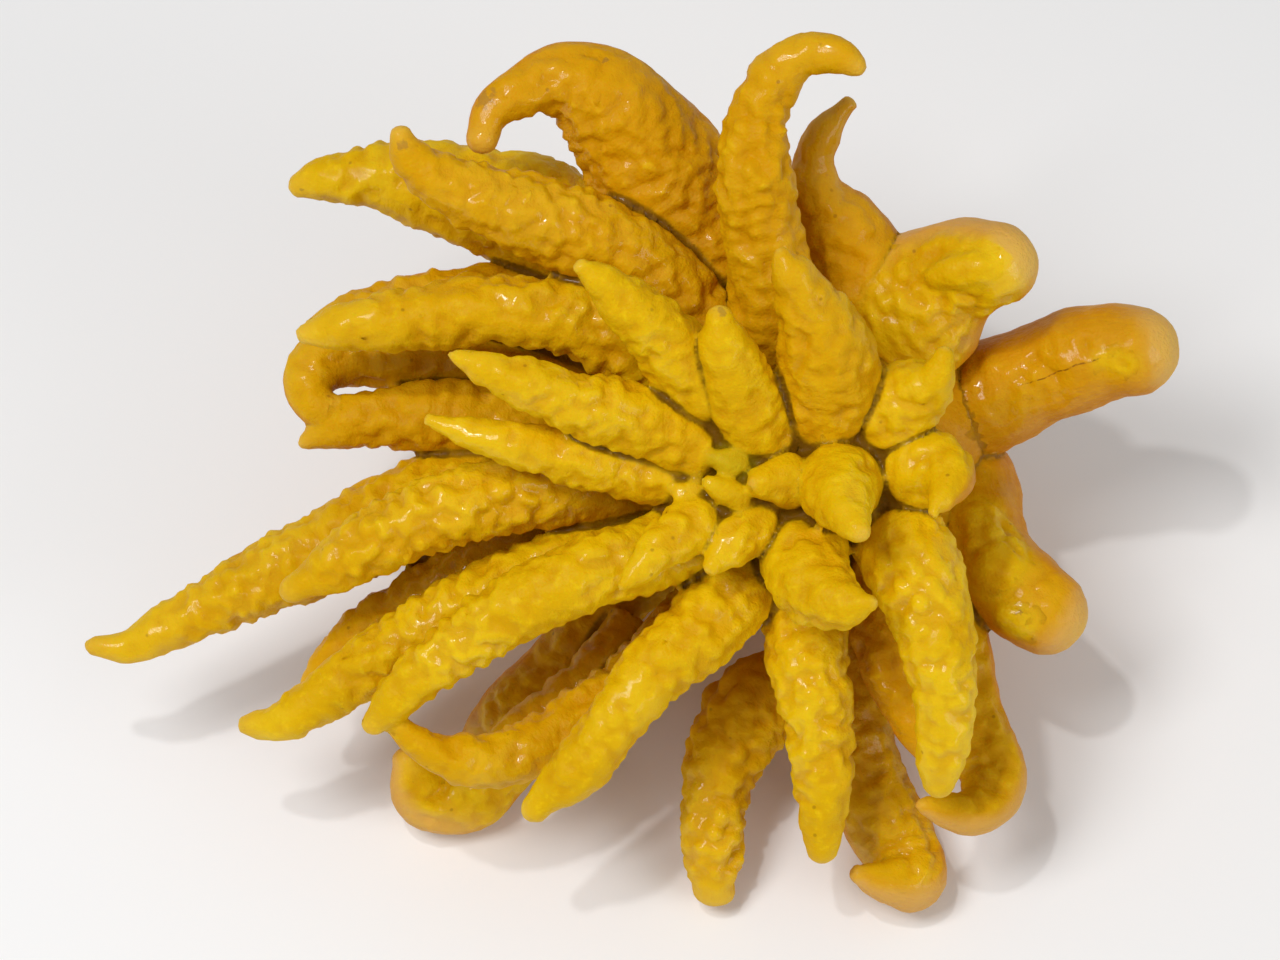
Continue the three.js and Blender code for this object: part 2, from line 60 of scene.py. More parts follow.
# Stations of each finger, in millimetres: right, up, out of the face of the hand, and radius. They run
# from the root inside the body to the tip. The origin is over the heart, where the fingers part.
FINGERS = {
    # Upper fingers.
    "broad_hook": [(3, 18, -48, 17), (-11, 42, -34, 17.8), (-22.5, 62.5, -24, 17.6), (-33, 77, -16, 15.4),
        (-41.5, 86.3, -10, 13.3), (-51.2, 90, -6, 9), (-60, 87, -3, 6.2), (-66.8, 82, -1, 4.5),
        (-68.5, 76.5, 0, 3.7)],
    "tall_hook": [(4, 12, -34, 12), (1, 30, -14, 11), (-2, 45, -4, 10.3), (-4.8, 60, 2, 9.3),
        (-6, 70, 6, 8.8), (-4.9, 81, 8, 7.5), (-0.8, 89.5, 10, 6.4), (5.5, 93.9, 12, 5.4),
        (12.4, 94, 14, 4.4), (16.3, 91.6, 15, 2.9)],
    "knuckled": [(14, 16, -45, 14), (18, 34, -38, 14.5), (20, 46, -32, 13.5), (14.2, 58, -27, 10.4),
        (9.5, 66, -24, 6.5), (8.9, 73, -22, 4.7), (11.4, 79.3, -20, 4), (16.6, 85.5, -18, 2.3)],
    "folded_upper": [(12, 12, -55, 18), (25, 30, -40, 17), (34.8, 40.6, -30, 17.2), (44, 47, -22, 12.8),
        (51, 47.8, -16, 10.2)],
    "folded_upper_nose": [(52, 47.7, -14, 7), (48, 47.6, -9.8, 5.2), (43.5, 46.8, -9.8, 4.4),
        (39.5, 46, -11, 3.9), (37, 45.2, -12, 3.1)],
    # Right-hand fingers.
    "folded_right": [(28, 8, -60, 22), (45, 15, -52, 15.5), (60, 21.3, -44, 13), (74, 27, -38, 12.4),
        (80, 28.2, -35, 12), (85, 28.4, -32, 11)],
    "folded_right_nose": [(86, 27, -31, 8), (83, 26.8, -27.5, 7), (80, 26.7, -26.6, 5),
        (77.8, 26.7, -26.6, 3.6)],
    "folded_lower": [(36, -3, -60, 26), (45.8, -6, -54, 15.6), (50.5, -21.5, -42, 12.4),
        (59.2, -29.8, -33, 11.4), (64.4, -33.4, -30.5, 10.4)],
    "folded_lower_nose": [(64, -33.5, -31, 8), (60.5, -34.6, -26.6, 6), (57.2, -34.2, -24.8, 4.6),
        (55, -33.6, -24.8, 3.6)],
    "folded_flat": [(45, -11, -46, 8), (48, -16, -37.5, 9), (52, -22, -33.6, 9.6),
        (55.6, -26.6, -29.5, 8.2), (58, -29, -29.6, 6)],
    "beak": [(14, 6, -20, 11), (23, 12, -3, 10.4), (30, 17, 5, 9), (35.2, 21, 11, 5.4),
        (36.6, 26, 14, 2.3)],
    "thorn": [(18, -3, -22, 11), (27, 0, -8, 10.5), (34, 0.5, 1, 9.5), (38, -1.5, 9, 6.6),
        (36.4, -6.3, 15, 3.7), (34.4, -9, 17, 1.9)],
    "thumb": [(16, 0, -22, 12.5), (13.6, -2.4, -4, 12.6), (12.5, -4, 9, 9.2), (14, -8.5, 20, 6.6),
        (16.3, -13, 27, 3.5)],
    # Lower fingers.
    "snout": [(6, -8, -22, 11), (5, -17, -4, 11), (7, -25, 9, 9.9), (12, -30, 18, 7.2),
        (16, -30.4, 23, 4.5), (18.9, -29.8, 25, 2.5)],
    "lower_right": [(22, -8, -22, 11), (28, -17, -5, 11.4), (33.5, -30, 2, 10.5), (36.5, -42, 4, 8.8),
        (37.5, -55, 3, 7.2), (37, -66, 0, 6), (36.8, -71.5, -2, 4.2)],
    "outer_hook": [(34, -12, -45, 14), (40, -30, -40, 10), (43.5, -46, -36, 8.5), (48, -62, -32, 8.5),
        (51.8, -74.6, -28, 7.8), (48, -79.9, -23, 6), (40.3, -80, -18, 4.4), (34.5, -78.6, -15, 2.3)],
    "tucked_right": [(20, -15, -35, 11), (24, -34, -28, 8), (29, -50, -24, 7), (33, -61, -22, 5),
        (35, -66.5, -21, 2.8)],
    "foot_hook": [(14, -20, -50, 14), (17, -42, -47, 9.5), (20, -62, -46, 8.6), (24, -78.5, -45, 10),
        (30.5, -91, -44, 10), (32.7, -98, -38, 8.2), (26.5, -98, -33, 5.2), (20.5, -96, -30, 2.8)],
    "heel": [(-2, 6, -60, 14), (-22, -4, -80, 13), (-33, -13, -90, 11.5), (-42, -22, -89, 8.6),
        (-49, -30, -84, 4.5)],
    "lower_middle": [(4, -12, -28, 12), (6, -30, -17, 11), (7.3, -45, -12, 9.9), (9.3, -58, -12, 8.7),
        (10.3, -71, -14, 7.5), (10.3, -81.5, -17, 5.9), (10.6, -88.2, -19, 4.1)],
    "foot_straight": [(12, -18, -50, 12), (11, -38, -46, 9), (4.5, -50, -43, 9.2), (-6, -57.4, -41, 11.4),
        (-10.8, -67, -39, 10.4), (-13.8, -76, -38, 8.7), (-15, -85, -38, 8), (-14.4, -93, -39, 7.3),
        (-14.2, -99.3, -40, 5.3)],
    "lower_left": [(-2, -14, -24, 11), (-10.4, -27.4, -10, 10.2), (-19, -37.6, -2, 9.2),
        (-29.6, -46.6, 2, 8.2), (-37.3, -56.5, 3, 7.4), (-45, -66.7, 1, 6.9), (-52.3, -73.9, -1, 5.2),
        (-56.2, -77.8, -2, 3.6)],
    "crescent": [(-6, -17, -40, 9), (-15, -29, -34, 8), (-25, -41, -28, 8), (-36, -51.5, -24, 8),
        (-47, -59, -19, 7.8), (-56, -64.5, -16, 7.4), (-66, -68, -13, 6.8), (-76, -66.7, -10, 5.4),
        (-84, -63, -7, 3.8), (-89, -58.5, -5, 2)],
    "foot_curl": [(-8, -6, -50, 11), (-27, -20, -48, 10), (-40.5, -33, -48, 8.6), (-50, -47, -50, 9.4),
        (-60.5, -60.5, -51, 10.8), (-70, -73.6, -52, 10.6), (-77.6, -79.2, -51, 9.9),
        (-84.2, -79, -48, 7.9), (-87.3, -73.7, -45, 5.5), (-88.6, -69.8, -43, 3.3)],
    "ridge": [(-34, -36, -40, 6), (-44, -50, -35, 6.3), (-55, -58, -32, 5.8), (-66, -64, -31, 3.2)],
    # Left-hand fingers.
    "long_left": [(-4, -6, -24, 10), (-18, -14, -8, 9.3), (-32, -20, 0, 9), (-46, -24.5, 4, 8.8),
        (-60, -31.5, 4, 8.3), (-73, -39.5, 2, 7.3), (-83, -47, -1, 6.3), (-90, -54.2, -3, 5),
        (-93.4, -58, -4, 3.2)],
    "short_left": [(-8, -6, -14, 8.5), (-17, -11, 2, 7.5), (-25, -16, 11, 6), (-32, -22, 15, 3.8),
        (-35.7, -25.9, 17, 1.8)],
    "short_lower": [(0, -8, -16, 9), (-5.5, -11.4, 0.5, 8.1), (-11, -16.7, 8, 5.9),
        (-15.4, -21.3, 12, 2.6)],
    "shaded_left": [(-10, -8, -45, 10), (-40, -16, -36, 9), (-68, -22.5, -30, 9.5),
        (-85.6, -31.5, -30, 7.5), (-99.5, -41, -30, 7), (-109.5, -50, -30, 3.6)],
    "swept_left": [(-8, -10, -34, 9), (-35, -18, -20, 8.5), (-58, -25.5, -15, 8.5), (-79, -35, -15, 8.3),
        (-96, -46, -17, 7.7), (-109, -55, -19, 5.9), (-118, -59.7, -20, 4.7), (-124, -60, -21, 2.8)],
    "longest": [(-12, 0, -45, 11), (-45, -1, -38, 10.5), (-72, -4.5, -34, 11.2), (-90, -11, -32, 11.3),
        (-106, -19, -31, 10.4), (-121, -25.4, -30, 9), (-133.5, -32, -30, 7.5), (-144, -37.5, -30, 6),
        (-154, -42, -30, 4.2), (-161.8, -41.6, -30, 2.4)],
    "blunt_left": [(-8, -3, -32, 9), (-40, -4, -18, 8.8), (-60, -5.5, -10, 9), (-75, -8.5, -6, 8.8),
        (-88, -14, -5, 8.4), (-98, -19, -5, 7.2), (-107, -24.3, -6, 5.3), (-113, -27.7, -7, 3.1)],
    "slim_left": [(-6, 0, -22, 8), (-20, -1.6, -3, 7.4), (-34, 0, 2, 7.2), (-48, 3, 6, 6.8),
        (-60, 5.5, 8, 5.8), (-72, 8.5, 9, 3.6), (-80, 11.3, 9, 1.6)],
    "pointed_left": [(-4, 2, -18, 8.5), (-16.5, 3.8, 1, 8), (-30, 10, 8, 8.2), (-42, 14, 14, 7.9),
        (-54, 18, 18, 6.6), (-64, 21.5, 20, 4.6), (-70.5, 24, 21, 2.8), (-74, 25.5, 21, 1.5)],
    "thick_left": [(-4, 8, -34, 10), (-22, 20, -16, 10), (-36, 29, -8, 9.2), (-50, 35, -4, 9),
        (-65, 37, -3, 8.2), (-80, 35.3, -4, 7.9), (-94, 34, -5, 6.7), (-104.5, 32.5, -6, 4.6),
        (-109, 31.7, -6, 2.8)],
    "back_left": [(-8, 14, -50, 11), (-40, 33, -43, 10), (-57, 39, -39, 9), (-71, 41.5, -36, 8),
        (-83, 40.3, -35, 7.6), (-95, 38.2, -34, 6.9), (-104.5, 36, -33, 5), (-109.5, 34, -32, 3)],
    "curled_left": [(-10, 6, -55, 11), (-45, 20, -48, 9), (-72, 25.5, -43, 8), (-90, 26.5, -39, 7.6),
        (-103.5, 27, -36, 7.6), (-109.6, 24.5, -33, 7.2), (-111, 19.4, -31, 5.8), (-108.2, 15, -29, 5),
        (-104, 14.6, -28, 3.1)],
    "under_left": [(-10, 2, -50, 10), (-45, 8, -37, 9), (-71, 12, -31, 9.6), (-90, 12.6, -30, 8),
        (-102.5, 11.2, -30, 6.3), (-110.8, 7.2, -30, 2.8)],
    # Upper left fingers.
    "far_cone": [(-2, 16, -52, 12), (-30, 42, -44, 13.3), (-57, 60.9, -40, 14.2), (-72, 65.6, -39, 12.2),
        (-83, 68.5, -38, 10.8), (-93, 70.3, -37, 9), (-103, 70, -36, 6.8), (-110, 69.3, -36, 4.9),
        (-114, 68, -36, 2.8)],
    "near_cone": [(-2, 12, -40, 12), (-16, 30, -22, 11.5), (-28, 43.5, -12, 11.3), (-42, 53, -5, 11),
        (-56, 58, 0, 9.8), (-70, 62.5, 3, 8.2), (-79.5, 67, 6, 6.2), (-84.8, 72, 9, 4.4),
        (-86.5, 76, 11, 2.6)],
    "twin_long": [(-2, 4, -16, 10), (-12, 14, 0, 9.5), (-20, 22, 9, 9.2), (-28, 31, 17, 8.3),
        (-35.8, 37.6, 23, 6.4), (-41.5, 42.4, 27, 4.2), (-45, 44.8, 29, 2.1)],
    "twin_short": [(1, 4, -9, 11), (-5.5, 10.4, 3, 10), (-10, 20, 13, 8.4), (-12.8, 27, 20, 6.2),
        (-13.9, 31, 23, 4.6), (-14.2, 33.3, 24, 3.5)],
    "sail": [(9, 5, -13, 12), (10, 12.6, -1.5, 11.8), (11, 23, 7, 12), (8.3, 32, 16, 9.8),
        (4, 40, 22, 6.8), (0.7, 45.4, 26, 4), (-0.6, 47.8, 27, 2.2)],
    # Stunted fingers in the heart.
    "green_bud": [(-4, -1, -14, 5), (-7.5, 0.6, 3, 5), (-11.8, 1.9, 8, 4.2), (-15.6, 2.9, 9, 2.3)],
    "leaf_bud": [(-3, -8, -12, 4.5), (-8.3, -6.2, 5, 4.3), (-12.8, -4.6, 10, 3.5), (-17, -2.6, 12, 1.7)],
    "grain_bud": [(-8, -6, -14, 4), (-14.4, -4.9, 1, 4.2), (-19.2, -5, 5, 3.7), (-23, -5.2, 6, 2.4)],
    "cone_bud": [(8, -4, -16, 10), (4.4, -2.6, 1, 8.2), (0, -2.4, 8, 6.4), (-3.8, -2.8, 11, 4)],
    "bead_bud": [(-4, -5, -12, 3.5), (-7.2, -2.8, 4, 2.9), (-7.4, -2.5, 6.5, 2.3)],
}
# How far round each finger the smooth outer skin of the fruit comes, as the cosine of the turn from the
# side that faces the middle of the hand: 1 is all the way, and below -1 is not at all, even at the uneven
# edge of the skin. Fingers that aren't listed have the first value.
SKIN_REACH = -0.35
NO_SKIN = -1.3
SKIN_REACHES = {
    "broad_hook": -0.1, "tall_hook": -0.3, "knuckled": 0.1, "folded_upper": 0.25, "folded_right": 0.9,
    "folded_upper_nose": NO_SKIN, "folded_right_nose": NO_SKIN, "folded_lower_nose": NO_SKIN,
    "folded_lower": 0.72, "folded_flat": NO_SKIN, "outer_hook": 0.3, "tucked_right": 0.2,
    "foot_hook": 0.25, "heel": 0.6, "foot_curl": 0.25, "beak": -0.9, "thorn": -0.8, "thumb": NO_SKIN,
    "snout": -1.0, "short_left": NO_SKIN, "short_lower": NO_SKIN, "slim_left": -0.5, "pointed_left": -0.9,
    "twin_long": -1.0, "twin_short": NO_SKIN, "sail": -0.7, "green_bud": NO_SKIN, "leaf_bud": NO_SKIN,
    "grain_bud": NO_SKIN, "cone_bud": NO_SKIN, "bead_bud": NO_SKIN,
}
# Stunted fingers that stay green, and how green.
UNRIPE = {"green_bud": 1.0, "leaf_bud": 0.2, "grain_bud": 0.1}
# Fingers that have ripened to a deeper amber, and how far. The others are a clear yellow.
RIPE = {
    "broad_hook": 0.8, "tall_hook": 0.6, "knuckled": 0.75, "folded_upper": 0.15, "folded_right": 0.7,
    "folded_lower": 0.6, "near_cone": 0.6, "back_left": 0.6, "shaded_left": 0.5, "curled_left": 0.5,
    "under_left": 0.55, "slim_left": 0.1, "pointed_left": 0.1, "ridge": 0.5, "crescent": 0.4,
    "foot_straight": 0.3, "foot_hook": 0.4, "sail": 0.45, "thick_left": 0.25, "tucked_right": 0.7,
    "outer_hook": 0.4, "blunt_left": 0.25, "longest": 0.25,
}
# The point over the heart that the inner sides of the fingers face.
FOCUS = np.array((0, 0, 90)) * MM


def route_through(stations):
    """Points and radii in metres, closely and evenly spaced on a smooth curve through the stations."""
    knots = np.array(stations, float) * MM
    padded = np.vstack([2 * knots[0] - knots[1], knots, 2 * knots[-1] - knots[-2]])
    fine = []
    for before, start, end, after in zip(padded, padded[1:], padded[2:], padded[3:]):
        steps = (start - before, end - start, after - end)
        gaps = [max(np.linalg.norm(step[:3]), MM) ** 0.5 for step in steps]
        leave = (start - before) / gaps[0] - (end - before) / (gaps[0] + gaps[1]) + (end - start) / gaps[1]
        arrive = (end - start) / gaps[1] - (after - start) / (gaps[1] + gaps[2]) + (after - end) / gaps[2]
        for t in np.linspace(0, 1, CURVE_STEPS, endpoint=False):
            fine.append(
                start
                + gaps[1] * leave * t
                + (3 * (end - start) - gaps[1] * (2 * leave + arrive)) * t**2
                + (2 * (start - end) + gaps[1] * (leave + arrive)) * t**3
            )
    fine = np.array([*fine, knots[-1]])
    travel = np.concatenate([[0], np.cumsum(np.linalg.norm(np.diff(fine[:, :3], axis=0), axis=1))])
    even = np.linspace(0, travel[-1], max(LEAST_RINGS, round(travel[-1] / RING_STEP)))
    return np.stack([np.interp(even, travel, fine[:, i]) for i in range(4)], axis=1)


def rounded_end(route):
    """The route with a round end added past its tip."""
    tip, radius = route[-1, :3], route[-1, 3]
    ahead = tip - route[-3, :3]
    ahead /= np.linalg.norm(ahead)
    cap = [[*(tip + ahead * radius * math.sin(a)), radius * math.cos(a)] for a in TIP_TURNS]
    return np.vstack([route, cap])


def uneven_girth(route, number):
    """The route with radii that swell and pinch a little, as no finger grows evenly."""
    for i, radius in enumerate(route[:, 3]):
        swell = noise.noise(Vector((i * RING_STEP / GIRTH_WAVE, number * FINGER_SHIFT, 0.5)))
        route[i, 3] = radius * (1 + GIRTH_CHANGE * swell)
    return route


def inner_ways(route):
    """The way a finger's inner side faces at each point of its route, carried on round its bends."""
    ahead = np.gradient(route[:, :3], axis=0)
    ahead /= np.linalg.norm(ahead, axis=1)[:, None]
    ways = np.zeros_like(ahead)
    start = len(route) * 2 // 5
    for i in [start, *range(start + 1, len(route)), *range(start - 1, -1, -1)]:
        near = FOCUS - route[i, :3] if i == start else ways[i - 1 if i > start else i + 1]
        way = near - ahead[i] * near.dot(ahead[i])
        ways[i] = way / np.linalg.norm(way)
    return ways


def add_values(mesh, name, values, kind="FLOAT"):
    """Stores one value for each vertex of a mesh under a name."""
    kept_values = mesh.attributes.new(name, kind, "POINT")
    field = "vector" if kind == "FLOAT_VECTOR" else "value"
    kept_values.data.foreach_set(field, np.ravel(values).astype(np.float32))


points, edges = [], []
traits = {name: [] for name in ("girth", "along", "share", "skin_reach", "number", "green", "ripe", "inner")}
for number, (name, stations) in enumerate(FINGERS.items()):
    route = rounded_end(uneven_girth(route_through(stations), number))
    first = len(points)
    points.extend(route[:, :3])
    edges.extend((first + i, first + i + 1) for i in range(len(route) - 1))
    traits["girth"].extend(route[:, 3])
    traits["along"].extend(np.arange(len(route)) * RING_STEP)
    traits["share"].extend(np.linspace(0, 1, len(route)))
    traits["skin_reach"].extend([SKIN_REACHES.get(name, SKIN_REACH)] * len(route))
    traits["number"].extend([number] * len(route))
    traits["green"].extend([UNRIPE.get(name, 0.0)] * len(route))
    traits["ripe"].extend([RIPE.get(name, 0.0)] * len(route))
    traits["inner"].extend(inner_ways(route))

routes_mesh = bpy.data.meshes.new("finger_routes")
routes_mesh.from_pydata([tuple(p) for p in points], edges, [])
for name, values in traits.items():
    add_values(routes_mesh, name, values, "FLOAT_VECTOR" if name == "inner" else "FLOAT")
finger_forms = bpy.data.objects.new("finger_forms", routes_mesh)
bpy.context.collection.objects.link(finger_forms)


def put(tree, kind, feeds=None, **settings):
    """Adds a node, makes its settings, and feeds its sockets with values or with other sockets."""
    node = tree.nodes.new(kind)
    for name, value in settings.items():
        setattr(node, name, value)
    for key, value in (feeds or {}).items():
        if isinstance(key, int):
            socket = node.inputs[key]
        else:
            socket = next(s for s in node.inputs if s.name == key and s.enabled)
        if isinstance(value, bpy.types.NodeSocket):
            tree.links.new(value, socket)
        else:
            socket.default_value = value
    return node


def out(node, name=None):
    """A node's output socket by name, or its first one that is in use."""
    return next(s for s in node.outputs if s.enabled and (name is None or s.name == name))


def sums(tree, operation, *terms):
    """A Math node's result."""
    return out(put(tree, "ShaderNodeMath", dict(enumerate(terms)), operation=operation))


def vectors(tree, operation, *terms):
    """A Vector Math node's result: a number for a dot product, otherwise a vector."""
    if operation == "SCALE":
        feeds = {0: terms[0], "Scale": terms[1]}
    else:
        feeds = dict(enumerate(terms))
    node = put(tree, "ShaderNodeVectorMath", feeds, operation=operation)
    return out(node, "Value" if operation == "DOT_PRODUCT" else "Vector")


def stretch(tree, value, low, high, to_low=0.0, to_high=1.0):
    """A value carried smoothly from one range to another, held at the ends."""
    feeds = {"Value": value, "From Min": low, "From Max": high, "To Min": to_low, "To Max": to_high}
    return out(put(tree, "ShaderNodeMapRange", feeds, interpolation_type="SMOOTHSTEP"))


def geometry_tree(name, sizes):
    """A new Geometry Nodes tree with a geometry in and out, and named inputs for its sizes."""
    tree = bpy.data.node_groups.new(name, "GeometryNodeTree")
    tree.interface.new_socket("Geometry", in_out="INPUT", socket_type="NodeSocketGeometry")
    tree.interface.new_socket("Geometry", in_out="OUTPUT", socket_type="NodeSocketGeometry")
    for label, kind in sizes.items():
        tree.interface.new_socket(label, in_out="INPUT", socket_type=kind)
    return tree, put(tree, "NodeGroupInput")


def stored(tree, name, kind="FLOAT"):
    """The value that the geometry holds under a name."""
    return out(put(tree, "GeometryNodeInputNamedAttribute", {"Name": name}, data_type=kind), "Attribute")


def store(tree, geometry, name, value, kind="FLOAT"):
    """The geometry with a value stored under a name at each point."""
    feeds = {"Geometry": geometry, "Name": name, "Value": value}
    return out(put(tree, "GeometryNodeStoreNamedAttribute", feeds, data_type=kind, domain="POINT"))


def run_tree(thing, tree, values):
    """Gives an object a Geometry Nodes modifier with its inputs set."""
    modifier = thing.modifiers.new(tree.name, "NODES")
    modifier.node_group = tree
    for socket in tree.interface.items_tree:
        if socket.in_out == "INPUT" and socket.name in values:
            modifier[socket.identifier] = values[socket.name]


def settle(thing):
    """Turns what an object's modifiers make into its plain mesh, and removes them."""
    graph = bpy.context.evaluated_depsgraph_get()
    ready = thing.evaluated_get(graph)
    made = bpy.data.meshes.new_from_object(ready, preserve_all_data_layers=True, depsgraph=graph)
    thing.modifiers.clear()
    thing.data = made


# The body. The unparted end of the fruit is a rounded knob, swollen into a lobe over the root of each
# outer finger. Its profile is [share of its length, radius in millimetres], from the stalk to the heart.
STALK_END = Vector((14, 17, -107)) * MM
HEART = Vector((2, 0, -14)) * MM
BODY_PROFILE = [
    (0.028, 0), (0.028, 7.4), (0.006, 9), (0.03, 15.5), (0.08, 26), (0.16, 36.5), (0.26, 44.5), (0.38, 48.5),
    (0.5, 48.5), (0.62, 45), (0.76, 37), (0.88, 28), (0.98, 18), (1.05, 9), (1.07, 0),
]
BODY_LOBES = 8
LOBE_RELIEF = 0.03
BODY_SIDES = 160
LEAST_RADIUS = 0.05 * MM
BODY_TRAITS = {"share": 0.0, "skin_reach": 1.0, "inside": -1.0, "number": -1.0, "girth": 20 * MM, "ripe": 0.6}
body_axis = STALK_END - HEART
body_length = body_axis.length
stalk_turn = Vector((0, 1, 0)).rotation_difference(-body_axis)
body_outline = route_through([(share * body_length / MM, radius, 0, 0) for share, radius in BODY_PROFILE])


def ring_faces(rings, sides):
    """The faces that join rings of points into a closed form, with one face over each end."""
    faces = []
    for ring in range(rings - 1):
        for side in range(sides):
            a, b = ring * sides + side, ring * sides + (side + 1) % sides
            faces.append((a, b, b + sides, a + sides))
    faces.append(tuple(range(sides - 1, -1, -1)))
    faces.append(tuple(range((rings - 1) * sides, rings * sides)))
    return faces


body_points = []
for height, radius in body_outline[:, :2]:
    fade = math.sin(math.pi * min(1.0, height / body_length))
    for side in range(BODY_SIDES):
        angle = 2 * math.pi * side / BODY_SIDES
        reach = max(radius, LEAST_RADIUS) * (1 + LOBE_RELIEF * fade * math.cos(BODY_LOBES * angle))
        upright = Vector((reach * math.sin(angle), height, reach * math.cos(angle)))
        body_points.append(STALK_END + stalk_turn @ upright)
body_mesh = bpy.data.meshes.new("body_form")
body_mesh.from_pydata(body_points, [], ring_faces(len(body_outline), BODY_SIDES))
for name, value in BODY_TRAITS.items():
    add_values(body_mesh, name, [value] * len(body_points))
add_values(body_mesh, "straight", body_points, "FLOAT_VECTOR")
body_form = bpy.data.objects.new("body_form", body_mesh)
bpy.context.collection.objects.link(body_form)

# A round section is swept along every route. Each point keeps where it lies in a straightened finger, so
# that folds and wrinkles can follow the finger round its bends. The fingers lie apart there, one after
# another, so that no two have the same folds.
FINGER_SPACING = 0.31
sweep, given = geometry_tree("Sweep fingers", {"Sides": "NodeSocketInt", "Body": "NodeSocketObject"})
lines = put(sweep, "GeometryNodeMeshToCurve", {"Mesh": given.outputs["Geometry"]})
circle = {"Resolution": given.outputs["Sides"], "Radius": 1.0}
section = out(put(sweep, "GeometryNodeCurvePrimitiveCircle", circle))
section = store(sweep, section, "round", out(put(sweep, "GeometryNodeSplineParameter"), "Factor"))
girth = stored(sweep, "girth")
swept = {"Curve": out(lines), "Profile Curve": section, "Scale": girth, "Fill Caps": True}
tubes = out(put(sweep, "GeometryNodeCurveToMesh", swept))
turn = sums(sweep, "MULTIPLY", stored(sweep, "round"), 2 * math.pi)
across = put(
    sweep,
    "ShaderNodeCombineXYZ",
    {
        "X": sums(sweep, "MULTIPLY", sums(sweep, "COSINE", turn), girth),
        "Y": sums(sweep, "MULTIPLY", sums(sweep, "SINE", turn), girth),
        "Z": sums(sweep, "MULTIPLY_ADD", stored(sweep, "number"), FINGER_SPACING, stored(sweep, "along")),
    },
)
tubes = store(sweep, tubes, "straight", out(across), "FLOAT_VECTOR")
facing_out = out(put(sweep, "GeometryNodeInputNormal"), "Normal")
inside = vectors(sweep, "DOT_PRODUCT", facing_out, stored(sweep, "inner", "FLOAT_VECTOR"))
tubes = store(sweep, tubes, "inside", inside)
body_in = put(sweep, "GeometryNodeObjectInfo", {"Object": given.outputs["Body"]}, transform_space="ORIGINAL")
whole = put(sweep, "GeometryNodeJoinGeometry")
sweep.links.new(tubes, whole.inputs[0])
sweep.links.new(out(body_in, "Geometry"), whole.inputs[0])
real = put(sweep, "GeometryNodeRealizeInstances", {"Geometry": out(whole)})
put(sweep, "NodeGroupOutput", {"Geometry": out(real)})
run_tree(finger_forms, sweep, {"Sides": RING_SIDES, "Body": body_form})
settle(finger_forms)

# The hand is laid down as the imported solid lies: its face leans back, and it rests at the same place.
fruit_low, fruit_high = (Vector(corner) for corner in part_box("fruit"))
lean = Matrix.Rotation(FACE_TILT, 4, "X")
finger_forms.data.transform(lean)
forms_at = np.array([v.co[:] for v in finger_forms.data.vertices])
middle = (forms_at.min(axis=0) + forms_at.max(axis=0)) / 2
heart_at = Vector(
    (
        (fruit_low.x + fruit_high.x) / 2 - middle[0],
        (fruit_low.y + fruit_high.y) / 2 - middle[1],
        fruit_high.z - forms_at[:, 2].max(),
    )
)
laid = Matrix.Translation(heart_at) @ lean
finger_forms.data.transform(Matrix.Translation(heart_at))
bpy.data.objects.remove(body_form)


# The rind. It closes over body and fingers as one skin, knobbly and cross-wrinkled on the sides that face
# the heart, smooth and finely pitted on the outside, and pinched into deep folds between the fingers.
SKIN_GRAIN = 0.8 * MM
MOST_TRIANGLES = 194000
SPECK_POINTS = 2000.0
DENT = (0.15 * MM, 2.4 * MM)
SKIN_EDGE = 0.14
WANDER = 1.5 * MM
PATCH_SIZE = 30 * MM
SMALL_KNOB_SHARE = 0.5
SMALL_KNOB_HEIGHT = 0.3
knit, given = geometry_tree(
    "Rind relief",
    {
        "Forms": "NodeSocketObject",
        "Knob Size": "NodeSocketFloat",
        "Knob Height": "NodeSocketFloat",
        "Wrinkle Size": "NodeSocketFloat",
        "Wrinkle Height": "NodeSocketFloat",
        "Swell Size": "NodeSocketFloat",
        "Swell Height": "NodeSocketFloat",
        "Fold Depth": "NodeSocketFloat",
        "Face": "NodeSocketVector",
        "Heart": "NodeSocketVector",
        "Floor": "NodeSocketFloat",
        "Material": "NodeSocketMaterial",
    },
)
forms_in = put(knit, "GeometryNodeObjectInfo", {"Object": given.outputs["Forms"]}, transform_space="ORIGINAL")
forms = out(forms_in, "Geometry")
position = out(put(knit, "GeometryNodeInputPosition"))
facing = out(put(knit, "GeometryNodeInputNormal"), "Normal")


def from_forms(name, kind="FLOAT"):
    """The value held under a name by the nearest point of the plain forms."""
    feeds = {"Mesh": forms, "Value": stored(knit, name, kind)}
    return out(put(knit, "GeometryNodeSampleNearestSurface", feeds, data_type=kind), "Value")


def blurred(value, times, kind="FLOAT"):
    """A value spread over its neighbours."""
    return out(put(knit, "GeometryNodeBlurAttribute", {"Value": value, "Iterations": times}, data_type=kind))


island = out(put(knit, "GeometryNodeInputMeshIsland"), "Island Index")
in_island = out(put(knit, "GeometryNodeAccumulateField", {"Value": 1.0, "Group ID": island}), "Total")
specks = out(put(knit, "FunctionNodeCompare", {"A": in_island, "B": SPECK_POINTS}, operation="LESS_THAN"))
closed_skin = given.outputs["Geometry"]
skin_only = put(knit, "GeometryNodeDeleteGeometry", {"Geometry": closed_skin, "Selection": specks})
kept = store(knit, out(skin_only), "straight", from_forms("straight", "FLOAT_VECTOR"), "FLOAT_VECTOR")
kept = store(knit, kept, "share", from_forms("share"))
kept = store(knit, kept, "green", blurred(from_forms("green"), 2))
kept = store(knit, kept, "ripe", blurred(from_forms("ripe"), 6))
number = from_forms("number")
apart = sums(knit, "ABSOLUTE", sums(knit, "SUBTRACT", blurred(number, 2), number))
kept = store(knit, kept, "meeting", blurred(stretch(knit, apart, 0.0, 0.05), 2))
